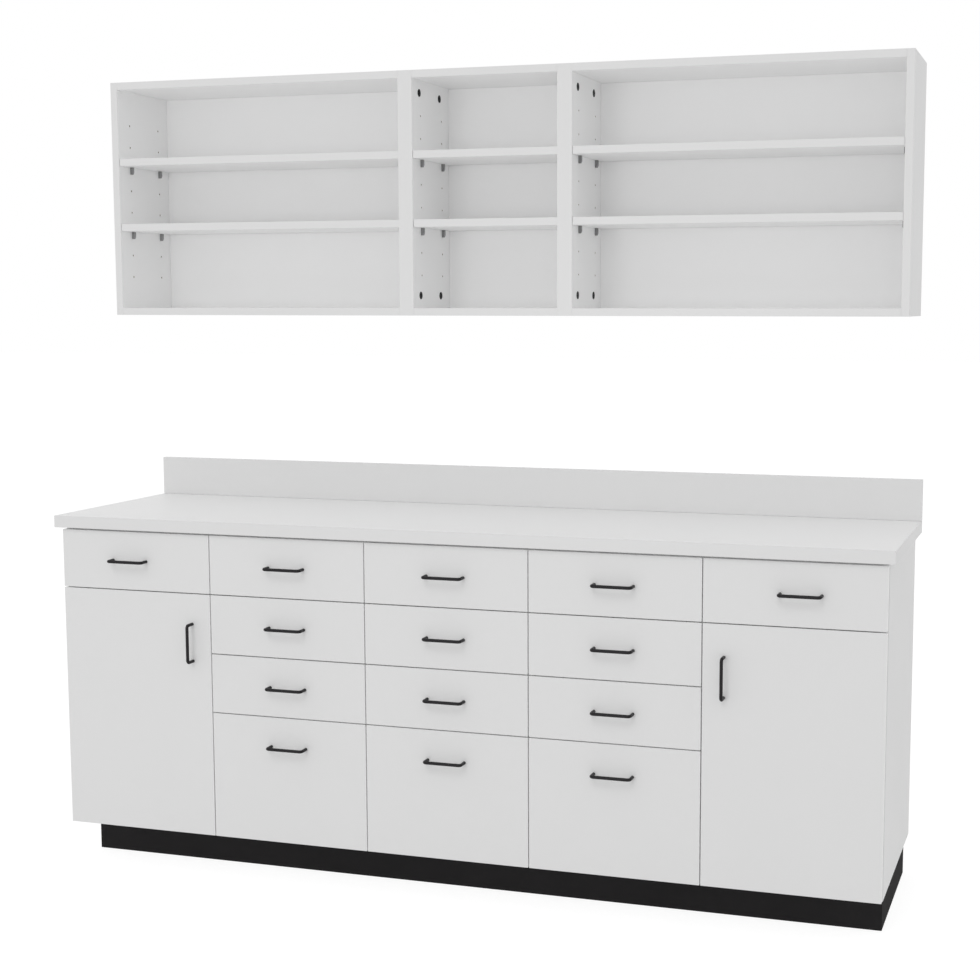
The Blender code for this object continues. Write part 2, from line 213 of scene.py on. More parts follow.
class CabinetFinishes(bpy.types.PropertyGroup):
    """Colours of the finishes."""

    # The white laminate is one sheet, given several whites surface by surface, each set to how
    # much light falls there: painted light and shade.
    front: colour("Fronts", "White laminate on the drawers and doors", (0.742, 0.742, 0.742))
    # The case's outside takes a slightly lighter white than the fronts: painted light on the
    # case's faces.
    case: colour("Case", "White laminate on the outside of the boards", (0.774, 0.774, 0.774))
    # Inside of the wall boxes and both faces of their shelves: the case's white laminate made much
    # lighter, as painted light where the boxes' inside lies in shade
    inside_painted_light: colour("Liner", "White lining of the wall unit and its shelves", (0.910, 0.910, 0.910))
    # The fronts' edges, seen mostly inside the shaded gaps between fronts, take a lighter white
    # than the fronts' faces: painted light in the gaps
    front_edge_painted_light: colour("Front edges", "White banding on the fronts' edges", (0.880, 0.880, 0.880))
    band: colour("Edge banding", "White banding on the boards' edges", (0.742, 0.742, 0.742))
    # The worktop's broad faces take a lighter white than the same laminate on its edges and
    # upstand: painted light on the top
    worktop: colour("Worktop", "White laminate on the worktop", (0.880, 0.880, 0.880))
    worktop_edge: colour("Worktop edge", "Worktop's edge and upstand", (0.730, 0.730, 0.730))
    melamine: colour("Drawer boxes", "White melamine on the drawer boxes", (0.840, 0.838, 0.830))
    chipboard: colour("Bare board", "Chipboard inside a drilled hole", (0.420, 0.360, 0.290))
    kick: colour("Plinth", "Black laminate on the plinth", (0.0280, 0.0270, 0.0278))
    coat: colour("Pulls", "Black coat on the pulls and bolts", (0.0096, 0.0084, 0.0098))
    plastic: colour("Supports", "Grey plastic of the shelf supports", (0.285, 0.285, 0.288))
    steel: colour("Slides", "Zinc plated steel of the slides and screws", (0.560, 0.570, 0.580))
    nickel: colour("Hinges", "Nickel plate on the hinges", (0.640, 0.625, 0.600))
    bumper: colour("Bumpers", "Pale soft plastic of the bumpers", (0.780, 0.780, 0.760))
    floor: colour("Floor", "Pale studio floor", (0.900, 0.900, 0.900))


class CabinetStudio(bpy.types.PropertyGroup):
    """Camera and light."""

    place: FloatVectorProperty(
        name="Camera place",
        description="Where the camera stands",
        default=(1.5123, -4.1151, 1.4742),
        size=3,
        subtype="TRANSLATION",
        unit="LENGTH",
    )
    turn: FloatVectorProperty(
        name="Camera turn",
        description="How the camera is turned",
        default=(math.radians(83.300), 0.0, math.radians(17.468)),
        size=3,
        subtype="EULER",
        unit="ROTATION",
    )
    lens: level("Lens", "Focal length in millimetres on a sensor 36 mm wide", 63.178)
    shift: FloatVectorProperty(
        name="Camera shift",
        description="Shift of the picture, in picture widths",
        default=(-0.07397, 0.01574),
        size=2,
        subtype="XYZ",
    )
    sky: level("Sky", "Light from all round", 0.715)
    front_lamp: level("Front lamp", "Power of the soft box in front, in watts", 27.0)
    top_lamp: level("Top lamp", "Strength of the far soft lamp high in front", 0.464)
    bounces: count("Bounces", "How often light is followed between the white boards", 12)
    floor_glow: level("Floor white", "White that the floor shows to the eye by itself", 0.88)
    floor_shade: level("Floor shade", "Share of the light on the floor that the eye sees", 0.22)


def settings():
    """The three groups of values in use."""
    scene = bpy.context.scene
    return scene.cabinet_sizes, scene.cabinet_finishes, scene.cabinet_studio


# Shaping


def grow(bm, add):
    """Run one step and give the faces that it added."""
    known = set(bm.faces)
    add()
    bm.normal_update()
    return [face for face in bm.faces if face not in known]


def add_board(bm, low, high, ease, segments=2):
    """A board between two corners with eased edges, banded where it is thin."""
    low = Vector(low)
    size = Vector(high) - low

    def block():
        verts = bmesh.ops.create_cube(bm, size=1.0)["verts"]
        bmesh.ops.scale(bm, vec=size, verts=verts)
        bmesh.ops.translate(bm, vec=low + size / 2, verts=verts)
        ease_edges(bm, {edge for vert in verts for edge in vert.link_edges}, ease, segments)

    thin = min(range(3), key=lambda axis: size[axis])
    for face in grow(bm, block):
        face.material_index = FACE if abs(face.normal[thin]) > FLAT else BAND


def add_profile(bm, corners, direction, ease):
    """A flat outline drawn out along a direction, with eased edges."""

    def prism():
        outline = bm.faces.new([bm.verts.new(corner) for corner in corners])
        grown = bmesh.ops.extrude_face_region(bm, geom=[outline])["geom"]
        verts = [item for item in grown if isinstance(item, bmesh.types.BMVert)]
        bmesh.ops.translate(bm, vec=direction, verts=verts)
        faces = {face for vert in verts for edge in vert.link_edges for face in edge.link_faces}
        faces.add(outline)
        bmesh.ops.recalc_face_normals(bm, faces=list(faces))
        ease_edges(bm, {edge for face in faces for edge in face.edges}, ease, 2)

    axis = Vector(direction).normalized()
    for face in grow(bm, prism):
        face.material_index = FACE if abs(face.normal.dot(axis)) > FLAT else BAND


def ease_edges(bm, edges, ease, segments):
    """Round edges over."""
    bmesh.ops.bevel(
        bm,
        geom=list(edges),
        offset=ease,
        segments=segments,
        profile=0.5,
        affect="EDGES",
        material=-1,
    )


def facing(place, direction):
    """Matrix that stands a shape drawn along +Z at a place, along a direction."""
    turn = Vector((0, 0, 1)).rotation_difference(Vector(direction)).to_matrix().to_4x4()
    return Matrix.Translation(place) @ turn


def add_rod(bm, start, end, radius, sides, finish=FACE):
    """A round bar between two points."""
    start = Vector(start)
    along = Vector(end) - start

    def rod():
        bmesh.ops.create_cone(
            bm,
            cap_ends=True,
            segments=sides,
            radius1=radius,
            radius2=radius,
            depth=along.length,
            matrix=facing(start + along / 2, along),
        )

    for face in grow(bm, rod):
        face.material_index = finish


def add_turned(bm, outline, sides):
    """A round piece: an outline of radius and height, turned about Z."""
    verts = [bm.verts.new((radius, 0, height)) for radius, height in outline]
    edges = [bm.edges.new(pair) for pair in zip(verts, verts[1:])]
    bmesh.ops.spin(
        bm,
        geom=verts + edges,
        cent=(0, 0, 0),
        axis=(0, 0, 1),
        angle=2 * math.pi,
        steps=sides,
        use_merge=True,
        use_duplicate=False,
    )
    bmesh.ops.remove_doubles(bm, verts=bm.verts, dist=NEAR)
    bmesh.ops.recalc_face_normals(bm, faces=bm.faces)


def channel_outline(reach, height, sheet, lip):
    """Outline of a folded steel channel, open on its far side, with lips along the opening."""
    inner = reach - sheet
    half = [(0, 0), (reach, 0), (reach, lip), (inner, lip), (inner, sheet), (sheet, sheet)]
    return half + [(x, height - z) for x, z in reversed(half)]


def mesh_from(bm, name):
    """A mesh holding what was shaped."""
    mesh = bpy.data.meshes.new(name)
    bm.to_mesh(mesh)
    bm.free()
    return mesh


def carve(mesh, cutters):
    """The mesh with shapes cut out of it; a cut face keeps the cutter's finish slot."""
    block = bpy.data.objects.new("block", mesh)
    tool = bpy.data.objects.new("tool", mesh_from(cutters, "tool"))
    for piece in (block, tool):
        bpy.context.scene.collection.objects.link(piece)
    cut = block.modifiers.new("Cut", "BOOLEAN")
    cut.operation = "DIFFERENCE"
    cut.solver = "EXACT"
    cut.object = tool
    depsgraph = bpy.context.evaluated_depsgraph_get()
    result = bpy.data.meshes.new_from_object(block.evaluated_get(depsgraph))
    old = (block.data, tool.data)
    for piece in (block, tool):
        bpy.data.objects.remove(piece)
    for spent in old:
        bpy.data.meshes.remove(spent)
    return result


def stamp(bm, mesh, place, direction, finish=FACE):
    """Stand a copy of a small mesh, drawn along +Z, at a place along a direction."""
    known = set(bm.verts)
    for face in grow(bm, lambda: bm.from_mesh(mesh)):
        face.material_index = finish
    added = [vert for vert in bm.verts if vert not in known]
    bmesh.ops.transform(bm, matrix=facing(place, direction), verts=added)


def finish_piece(name, shape, finishes, body, stands_for=(), smooth=None):
    """Make a shape a piece of the cabinet: its finishes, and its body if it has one."""
    mesh = mesh_from(shape, name) if isinstance(shape, bmesh.types.BMesh) else shape
    mesh.name = name
    for finish in finishes:
        mesh.materials.append(bpy.data.materials[finish])
    for polygon in mesh.polygons:
        polygon.material_index = min(polygon.material_index, len(finishes) - 1)
        polygon.use_smooth = smooth is not None
    if smooth is not None:
        mesh.set_sharp_from_angle(angle=smooth)
    piece = bpy.data.objects.new(name, mesh)
    bpy.context.scene.collection.objects.link(piece)
    if body is not None:
        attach(piece, body)
    if stands_for:
        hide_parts(*stands_for)
    return piece


BOARD_FINISH = ("case_sheet", "edge_band", "bare_chipboard", "inside_painted_light_sheet")
FRONT_FINISH = ("front_sheet", "front_band_painted_light", "bare_chipboard")
FITTING_FINISH = ("zinc_steel", "bumper_plastic")


def board_piece(name, low, high, stands_for=(), cutters=None, finishes=BOARD_FINISH,
                slot="case_laminate", body="cabinet", ease=None, painted_light_sides=()):
    """One board as a piece, drilled where cutters are given, with the sides named given a lighter
    white as painted light.
    """
    bm = bmesh.new()
    add_board(bm, low, high, settings()[0].ease if ease is None else ease)
    for face in bm.faces:
        if any(face.normal.dot(way) > FLAT for way in painted_light_sides):
            face.material_index = PAINTED_LIGHT_INSIDE
    mesh = mesh_from(bm, name)
    if cutters is not None:
        mesh = carve(mesh, cutters)
    return finish_piece(name, mesh, finishes, body, stands_for)


# Screw heads: heights for their diameter, share of the height under the dome, sides, cross recess
FLAT_HEAD = 0.2
DOMED_HEAD = 0.3
SCREW_RIM = 0.25
SMALL_SIDES = 20
RECESS_LENGTH = 0.62
RECESS_WIDTH = 0.13

# Bolt heads: rounded edge and socket floor for the height, socket for the radius, sides
BOLT_EDGE = 0.35
SOCKET_FLOOR = 0.3
SOCKET = 0.36
BOLT_SIDES = 32


def screw_mesh(name, diameter, height):
    """A domed screw head with a cross recess, standing on the XY plane."""
    radius = diameter / 2
    outline = [(0, 0), (radius, 0)]
    for step in range(4):
        angle = step * math.pi / 8
        rise = SCREW_RIM + (1 - SCREW_RIM) * math.sin(angle)
        outline.append((radius * math.cos(angle), height * rise))
    bm = bmesh.new()
    add_turned(bm, [*outline, (0, height)], SMALL_SIDES)
    mesh = mesh_from(bm, name)
    long, narrow = RECESS_LENGTH * diameter, RECESS_WIDTH * diameter
    for size in ((long, narrow, height), (narrow, long, height)):
        cutters = bmesh.new()
        verts = bmesh.ops.create_cube(cutters, size=1.0)["verts"]
        bmesh.ops.scale(cutters, vec=size, verts=verts)
        bmesh.ops.translate(cutters, vec=(0, 0, height), verts=verts)
        mesh = carve(mesh, cutters)
    return mesh


def bolt_mesh(name, diameter, height):
    """A low round bolt head with a hexagon socket, standing on the XY plane."""
    radius = diameter / 2
    edge = height * BOLT_EDGE
    bm = bmesh.new()
    outline = [(0, 0), (radius, 0), (radius, height - edge)]
    outline += [
        (radius - edge + edge * math.cos(angle), height - edge + edge * math.sin(angle))
        for angle in (math.pi / 8, math.pi / 4, math.pi * 3 / 8)
    ]
    add_turned(bm, [*outline, (radius - edge, height), (0, height)], BOLT_SIDES)
    cutters = bmesh.new()
    add_rod(cutters, (0, 0, height * SOCKET_FLOOR), (0, 0, height * 2), radius * SOCKET, 6)
    return carve(mesh_from(bm, name), cutters)


# Sides of drilled holes and of the pins in them
PIN_SIDES = 16


def hole_cutters(sizes, holes):
    """Drills for shelf holes, each at a point on a face with its way in."""
    bm = bmesh.new()
    for place, way in holes:
        place = Vector(place)
        way = Vector(way)
        end = place + way * sizes.hole_depth
        add_rod(bm, place - way * sizes.hole, end, sizes.hole / 2, PIN_SIDES, BARE)
    return bm


def shelf_rows(sizes, front_y, rear_y):
    """The two lines of holes and supports on a side board."""
    return front_y + sizes.hole_row, rear_y - sizes.hole_row


# Finishes


def add_math(tree, operation, *values):
    """A math node fed by sockets or plain numbers, and the socket that it puts out."""
    node = tree.nodes.new("ShaderNodeMath")
    node.operation = operation
    for socket, value in zip(node.inputs, values):
        if isinstance(value, bpy.types.NodeSocket):
            tree.links.new(value, socket)
        else:
            socket.default_value = value
    return node.outputs["Value"]


# Share of grain added to the clouds, and the middle of the two together
GRAIN_SHARE = 0.35
GRAIN_MIDDLE = 0.675


def surface_group():
    """Node group: the fine unevenness that every finish has, from clouds to grain."""
    group = bpy.data.node_groups.new("fine_surface", "ShaderNodeTree")
    for name, kind in (
        ("Place", "NodeSocketVector"),
        ("Colour", "NodeSocketColor"),
        ("Mottle", "NodeSocketFloat"),
        ("Cloud Scale", "NodeSocketFloat"),
        ("Grain Scale", "NodeSocketFloat"),
        ("Roughness", "NodeSocketFloat"),
        ("Smudge", "NodeSocketFloat"),
    ):
        group.interface.new_socket(name=name, in_out="INPUT", socket_type=kind)
    for name, kind in (
        ("Colour", "NodeSocketColor"),
        ("Roughness", "NodeSocketFloat"),
        ("Height", "NodeSocketFloat"),
    ):
        group.interface.new_socket(name=name, in_out="OUTPUT", socket_type=kind)
    nodes = group.nodes
    join = group.links.new
    given = nodes.new("NodeGroupInput")
    out = nodes.new("NodeGroupOutput")

    cloud = nodes.new("ShaderNodeTexNoise")
    cloud.inputs["Detail"].default_value = 4.0
    grain = nodes.new("ShaderNodeTexNoise")
    grain.inputs["Detail"].default_value = 2.0
    for noise, scale in ((cloud, "Cloud Scale"), (grain, "Grain Scale")):
        join(given.outputs["Place"], noise.inputs["Vector"])
        join(given.outputs[scale], noise.inputs["Scale"])

    blend = add_math(
        group, "MULTIPLY_ADD", grain.outputs["Fac"], GRAIN_SHARE, cloud.outputs["Fac"]
    )
    centred = add_math(group, "SUBTRACT", blend, GRAIN_MIDDLE)
    tone = add_math(group, "MULTIPLY_ADD", centred, given.outputs["Mottle"], 1.0)
    tint = nodes.new("ShaderNodeVectorMath")
    tint.operation = "SCALE"
    join(given.outputs["Colour"], tint.inputs[0])
    join(tone, tint.inputs["Scale"])
    join(tint.outputs["Vector"], out.inputs["Colour"])
    dull = add_math(
        group, "MULTIPLY_ADD", centred, given.outputs["Smudge"], given.outputs["Roughness"]
    )
    join(dull, out.inputs["Roughness"])
    join(grain.outputs["Fac"], out.inputs["Height"])
    return group


def make_finish(name, base, group, mottle=0.02, cloud=7.0, grain=900.0, roughness=0.45,
                smudge=0.15, bump=0.02, depth=0.0004, stretch=None, **constants):
    """A material from the shared surface group, with its own values."""
    material = bpy.data.materials.new(name)
    material.use_nodes = True
    nodes = material.node_tree.nodes
    join = material.node_tree.links.new
    shader = nodes["Principled BSDF"]
    for socket, value in constants.items():
        shader.inputs[socket.replace("_", " ")].default_value = value
    place = nodes.new("ShaderNodeTexCoord").outputs["Object"]
    if stretch is not None:
        mapping = nodes.new("ShaderNodeMapping")
        mapping.inputs["Scale"].default_value = stretch
        join(place, mapping.inputs["Vector"])
        place = mapping.outputs["Vector"]
    surface = nodes.new("ShaderNodeGroup")
    surface.node_tree = group
    surface.inputs["Colour"].default_value = (*base, 1.0)
    for socket, value in (
        ("Mottle", mottle),
        ("Cloud Scale", cloud),
        ("Grain Scale", grain),
        ("Roughness", roughness),
        ("Smudge", smudge),
    ):
        surface.inputs[socket].default_value = value
    join(place, surface.inputs["Place"])
    relief = nodes.new("ShaderNodeBump")
    relief.inputs["Strength"].default_value = bump
    relief.inputs["Distance"].default_value = depth
    join(surface.outputs["Height"], relief.inputs["Height"])
    join(surface.outputs["Colour"], shader.inputs["Base Color"])
    join(surface.outputs["Roughness"], shader.inputs["Roughness"])
    join(relief.outputs["Normal"], shader.inputs["Normal"])
    return material


class CABINET_OT_finishes(bpy.types.Operator):
    """Laminates, banding, coats and metals that the pieces are given"""

    bl_idname = "cabinet.finishes"
    bl_label = "Finishes"

    def execute(self, context):
        colours = settings()[1]
        group = surface_group()
        for name, base, roughness in (
            ("front_sheet", colours.front, 0.50),
            # lighter white on the fronts' edges: painted light in the gaps
            ("front_band_painted_light", colours.front_edge_painted_light, 0.36),
            ("case_sheet", colours.case, 0.46),
            # lighter white for the wall boxes' inside: painted light
            ("inside_painted_light_sheet", colours.inside_painted_light, 0.50),
            ("edge_band", colours.band, 0.36),
            # lighter white on the worktop's top: painted light
            ("worktop_top_painted_light", colours.worktop, 0.44),
            ("worktop_band", colours.worktop_edge, 0.40),
            ("drawer_sheet", colours.melamine, 0.50),
        ):
            make_finish(name, base, group, roughness=roughness, bump=0.06, depth=0.0002)
        make_finish(
            "bare_chipboard", colours.chipboard, group, mottle=0.9, cloud=220.0,
            grain=1500.0, roughness=0.85, bump=0.5, depth=0.0006,
        )
        make_finish(
            "kick_sheet", colours.kick, group, mottle=0.25, roughness=0.62,
            bump=0.05, depth=0.0002, Specular_IOR_Level=0.006,
        )
        for name, gloss in (("pull_coat", 0.22), ("bolt_coat", 0.08)):
            make_finish(
                name, colours.coat, group, mottle=0.3, cloud=60.0, grain=2600.0,
                roughness=0.42, bump=0.10, depth=0.0002, Specular_IOR_Level=gloss,
            )
        make_finish(
            "support_plastic", colours.plastic, group, mottle=0.2, cloud=40.0, grain=3000.0,
            roughness=0.48, bump=0.08, depth=0.0002, Specular_IOR_Level=0.30,
        )
        make_finish(
            "zinc_steel", colours.steel, group, mottle=0.18, cloud=35.0, grain=700.0,
            roughness=0.36, smudge=0.4, bump=0.06, stretch=(1.0, 0.06, 1.0), Metallic=1.0,
        )
        make_finish(
            "hinge_nickel", colours.nickel, group, mottle=0.08, cloud=50.0, grain=1800.0,
            roughness=0.26, smudge=0.25, bump=0.03, Metallic=1.0,
        )
        make_finish(
            "bumper_plastic", colours.bumper, group, mottle=0.05, cloud=90.0, grain=2000.0,
            roughness=0.30, bump=0.02,
        )
        return {"FINISHED"}


# Pieces


class CABINET_OT_worktop(bpy.types.Operator):
    """Worktop with square laminated edges, and the upstand along the wall"""

    bl_idname = "cabinet.worktop"
    bl_label = "Worktop"

    def execute(self, context):
        sizes = settings()[0]
        for node, ease, sheet in (
            # The top takes the lighter white, painted light; its edges and the upstand take the
            # edge white
            ("countertop", sizes.worktop_ease, "worktop_top_painted_light"),
            ("backsplash", sizes.front_ease, "worktop_band"),
        ):
            bm = bmesh.new()
            add_board(bm, *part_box(node), ease, segments=3)
            finishes = (sheet, "worktop_band")
            finish_piece(f"laminate_{node}", bm, finishes, "cabinet", [node])
        return {"FINISHED"}


class CABINET_OT_plinth(bpy.types.Operator):
    """Recessed black plinth: a front, a rear, two ends and the ribs between them"""

    bl_idname = "cabinet.plinth"
    bl_label = "Plinth"

    def execute(self, context):
        sizes = settings()[0]
        low, high = PLINTH
        board = sizes.kick_board
        seam = sizes.seam
        look = {"finishes": ["kick_sheet"], "slot": "kick_black"}
        inner_y = (low.y + board + seam, high.y - board - seam)
        front = (high.x, low.y + board, high.z)
        board_piece("plinth_front", low, front, ["kick_base"], **look)
        board_piece("plinth_rear", (low.x, high.y - board, low.z), high, **look)
        names = ("end_left", "rib_1", "rib_2", "end_right")
        pitch = (high.x - low.x - board) / (len(names) - 1)
        for index, name in enumerate(names):
            x = low.x + index * pitch
            board_piece(
                f"plinth_{name}",
                (x, inner_y[0], low.z),
                (x + board, inner_y[1], high.z),
                **look,
            )
        return {"FINISHED"}


# Screws in the back: rows on each partition, from its bottom and top, and beside each bay's middle
BACK_SCREW_ROWS = 5
BACK_SCREW_BOTTOM = 0.09
BACK_SCREW_TOP = 0.06
BACK_SCREW_SPREAD = 0.12

# Holes of a cupboard's rows, counted from the one that its shelf rests on
CUPBOARD_HOLES = range(-3, 4)


class CABINET_OT_case(bpy.types.Operator):
    """End panels and partitions drilled for shelves, deck, back and front rail"""

    bl_idname = "cabinet.case"
    bl_label = "Case"

    def execute(self, context):
        sizes = settings()[0]
        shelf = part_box("cupboard_shelf_left")
        holes = self.cupboard_holes(sizes, shelf)
        for index, node in enumerate(["end_panel_left", *PARTITIONS, "end_panel_right"]):
            low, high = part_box(node)
            x = UPRIGHTS[index]
            bm = bmesh.new()
            if node in PARTITIONS:
                self.notched_board(bm, x, low, high, sizes)
            else:
                add_board(bm, (x[0], low.y, low.z), (x[1], high.y, high.z), sizes.ease)
            mesh = mesh_from(bm, node)
            drills = [hole for hole in holes if min(abs(hole[0][0] - edge) for edge in x) < NEAR]
            if drills:
                mesh = carve(mesh, hole_cutters(sizes, drills))
            finish_piece(f"board_{node}", mesh, BOARD_FINISH, "cabinet", [node])
        for node in ("deck", "case_back", "front_rail"):
            board_piece(f"board_{node}", *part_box(node), [node])
        self.back_screws(sizes)
        return {"FINISHED"}

    def cupboard_holes(self, sizes, shelf):
        """Places of the shelf holes in the uprights on both sides of each cupboard."""
        rows = shelf_rows(sizes, shelf[0].y, CASE_BACK[0].y)
        middle = shelf[0].z - sizes.support_pin
        return [
            ((face, y, middle + step * sizes.hole_pitch), (way, 0, 0))
            for bay in (0, LAST_BAY)
            for face, way in zip(BAYS[bay], (-1, 1))
            for y in rows
            for step in CUPBOARD_HOLES
        ]

    def notched_board(self, bm, x, low, high, sizes):
        """A partition, notched at the top front for the rail."""
        rail_y = RAIL[1].y + sizes.seam
        rail_z = RAIL[0].z - sizes.seam
        outline = [
            (low.y, low.z), (high.y, low.z), (high.y, high.z),
            (rail_y, high.z), (rail_y, rail_z), (low.y, rail_z),
        ]
        corners = [(x[0], y, z) for y, z in outline]
        add_profile(bm, corners, (x[1] - x[0], 0, 0), sizes.ease)

    def back_screws(self, sizes):
        """Screws that hold the back to the partitions and the deck."""
        head = screw_mesh("back_screw", sizes.screw, sizes.screw * FLAT_HEAD)
        bm = bmesh.new()
        bottom = CASE_BACK[0].z + BACK_SCREW_BOTTOM
        pitch = (CASE_BACK[1].z - BACK_SCREW_TOP - bottom) / (BACK_SCREW_ROWS - 1)
        heights = [bottom + step * pitch for step in range(BACK_SCREW_ROWS)]
        places = [(sum(board_width(node)) / 2, z) for node in PARTITIONS for z in heights]
        deck_z = (DECK[0].z + DECK[1].z) / 2
        for bay in BAYS:
            middle = sum(bay) / 2
            places += [(middle + side * BACK_SCREW_SPREAD, deck_z) for side in (-1, 1)]
        for x, z in places:
            stamp(bm, head, (x, REAR_Y, z), REARWARD)
        bpy.data.meshes.remove(head)
        finish_piece("back_screws", bm, ["zinc_steel"], "cabinet", smooth=ROUND)


# Slides: places of the screws as shares of the length, their size for other screws, rounding of
# the folds for the sheet
SLIDE_SCREWS = (0.07, 0.35, 0.90)
SLIDE_SCREW = 0.9
FOLD_EASE = 0.3


class CABINET_OT_slides(bpy.types.Operator):
    """Folded steel slides: a channel on each upright and a runner on each drawer box"""

    bl_idname = "cabinet.slides"
    bl_label = "Drawer slides"

    def execute(self, context):
        sizes = settings()[0]
        head = screw_mesh("slide_screw", sizes.screw * SLIDE_SCREW, sizes.slide_sheet)
        for node in DRAWERS:
            low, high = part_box(node)
            bay = bay_of(node)
            bar_low = low.z + sizes.box_rise + sizes.bar_rise
            bar_z = (bar_low, bar_low + sizes.bar_height)
            spare = (sizes.slide_height - sizes.bar_height) / 2
            channel_z = (bar_z[0] - spare, bar_z[1] + spare)
            y = (CASE_Y + sizes.slide_start, high.y)
            channels = bmesh.new()
            runners = bmesh.new()
            for face, way in zip(bay, (1, -1)):
                reach = sizes.slide_reach - sizes.seam
                self.folded(channels, sizes, face, way, reach, channel_z, y, head)
                box_side = face + way * sizes.slide_space
                self.folded(runners, sizes, box_side, -way, sizes.runner_reach, bar_z, y, head)
            label = node.removeprefix("drawer_")
            for name, bm, body in (
                (f"slide_channels_{label}", channels, "cabinet"),
                (f"slide_runners_{label}", runners, node),
            ):
                finish_piece(name, bm, ["zinc_steel"], body, smooth=ROUND)
        bpy.data.meshes.remove(head)
        return {"FINISHED"}

    def folded(self, bm, sizes, face, way, reach, z, y, head):
        """A length of folded channel standing on a face, with its screws."""
        outline = channel_outline(reach, z[1] - z[0], sizes.slide_sheet, sizes.slide_lip)
        corners = [(face + way * (sizes.seam + x), y[0], z[0] + rise) for x, rise in outline]
        add_profile(bm, corners, (0, y[1] - y[0], 0), sizes.slide_sheet * FOLD_EASE)
        web = face + way * (sizes.seam + sizes.slide_sheet)
        for share in SLIDE_SCREWS:
            place = (web, y[0] + share * (y[1] - y[0]), (z[0] + z[1]) / 2)
            stamp(bm, head, place, (way, 0, 0))


# Bumpers: radius and height round the dot, and how far they sit from a front's edge and end
BUMPER_OUTLINE = ((0, 0), (0.0040, 0), (0.0038, 0.0008), (0.0030, 0.0014), (0, 0.0018))
BUMPER_EDGE = 0.006
BUMPER_END = 0.020


class CABINET_OT_drawers(bpy.types.Operator):
    """Drawer fronts and the boxes behind them, with bumpers and the pulls' screws"""

    bl_idname = "cabinet.drawers"
    bl_label = "Drawers"

    def execute(self, context):
        sizes = settings()[0]
        head = screw_mesh("pull_screw", sizes.screw, sizes.screw * DOMED_HEAD)
        for node in DRAWERS:
            low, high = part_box(node)
            label = node.removeprefix("drawer_")
            board_piece(
                f"drawer_front_{label}",
                low,
                (high.x, FRONT_BACK_Y, high.z),
                [node],
                finishes=FRONT_FINISH,
                slot="front_laminate",
                body=node,
                ease=sizes.front_ease,
            )
            self.box(sizes, node, label, low, high)
            self.fittings(sizes, node, label, low, high, head)
        bpy.data.meshes.remove(head)
        return {"FINISHED"}

    def box(self, sizes, node, label, low, high):
        """Two sides, an inner front, a back and a bottom."""
        bay = bay_of(node)
        seam = sizes.seam
        wall = sizes.box_wall
        x = (bay[0] + sizes.slide_space, bay[1] - sizes.slide_space)
        y = (FRONT_BACK_Y + seam, high.y)
        z = (low.z + sizes.box_rise, high.z - sizes.box_drop)
        inner = (x[0] + wall + seam, x[1] - wall - seam)
        bm = bmesh.new()
        for side in ((x[0], x[0] + wall), (x[1] - wall, x[1])):
            add_board(bm, (side[0], y[0], z[0]), (side[1], y[1], z[1]), sizes.ease)
        for end in ((y[0], y[0] + wall), (y[1] - wall, y[1])):
            add_board(bm, (inner[0], end[0], z[0]), (inner[1], end[1], z[1]), sizes.ease)
        add_board(
            bm,
            (inner[0], y[0] + wall + seam, z[0]),
            (inner[1], y[1] - wall - seam, z[0] + sizes.box_floor),
            sizes.ease,
        )
        finishes = ("drawer_sheet", "edge_band")
        finish_piece(f"drawer_box_{label}", bm, finishes, node)

    def fittings(self, sizes, node, label, low, high, head):
        """Screws of the pull inside the box, and bumpers at the front's upper corners."""
        pull_low, pull_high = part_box(f"pull_{label}")
        bar = (pull_high.z - pull_low.z) / 2
        inside = FRONT_BACK_Y + sizes.seam + sizes.box_wall
        screws = [(x, inside, pull_low.z + bar) for x in (pull_low.x + bar, pull_high.x - bar)]
        top = high.z - BUMPER_END
        bumpers = [(x, FRONT_BACK_Y, top) for x in (low.x + BUMPER_EDGE, high.x - BUMPER_EDGE)]
        fitting_piece(f"drawer_fittings_{label}", node, head, screws, bumpers)


def fitting_piece(name, body, head, screws, bumpers):
    """The screws of a pull, and soft dots behind a front that meet the case."""
    dot = bmesh.new()
    add_turned(dot, BUMPER_OUTLINE, SMALL_SIDES)
    bumper = mesh_from(dot, "bumper")
    bm = bmesh.new()
    for finish, (mesh, places) in enumerate(((head, screws), (bumper, bumpers))):
        for place in places:
            stamp(bm, mesh, place, REARWARD, finish)
    bpy.data.meshes.remove(bumper)
    finish_piece(name, bm, FITTING_FINISH, body, smooth=ROUND)


# Hinge cups: play in the door, sheet, corner, rim, sides, and how far the drill starts outside
CUP_PLAY = 0.0002
CUP_SHEET = 0.0008
CUP_CORNER = 0.0020
CUP_RIM = 0.0016
CUP_SIDES = 48
DRILL_START = 0.01

# Wings of a cup: thickness, sides from the cup's middle, near and far end, screw, rounding
WING = 0.0011
WING_SIDES = (-0.002, 0.013)
WING_GAP = 0.0018
WING_END = 0.0290
WING_SCREW = 0.0236
WING_EASE = 0.0004

# Links of a hinge: middle from the end panel, tip and pin from the cup's floor, the pin's radius
# and how far it passes through a link for its sheet, rounding for the sheet
LINK_REACH = 0.0065
LINK_TIP = 0.0010
PIN_PLACE = 0.0028
PIN_RADIUS = 0.0011
PIN_THROUGH = 1.5
LINK_EASE = 0.2

# Parts of a hinge arm: near and far side from the end panel, half height, rounding
ARM_PLATE = (0.0003, 0.0021, 0.0220, 0.0006)
ARM_BODY = (0.0023, 0.0118, 0.0069, 0.0020)
ARM_NECK = (0.0030, 0.0100, 0.0045, 0.0015)

# Ends of those parts: from the arm's rear end for the plate, from its tip for the neck
PLATE_LENGTH = 0.046
BODY_START = 0.0160
BODY_STOP = 0.0030
NECK_START = 0.0050
NECK_STOP = 0.0158

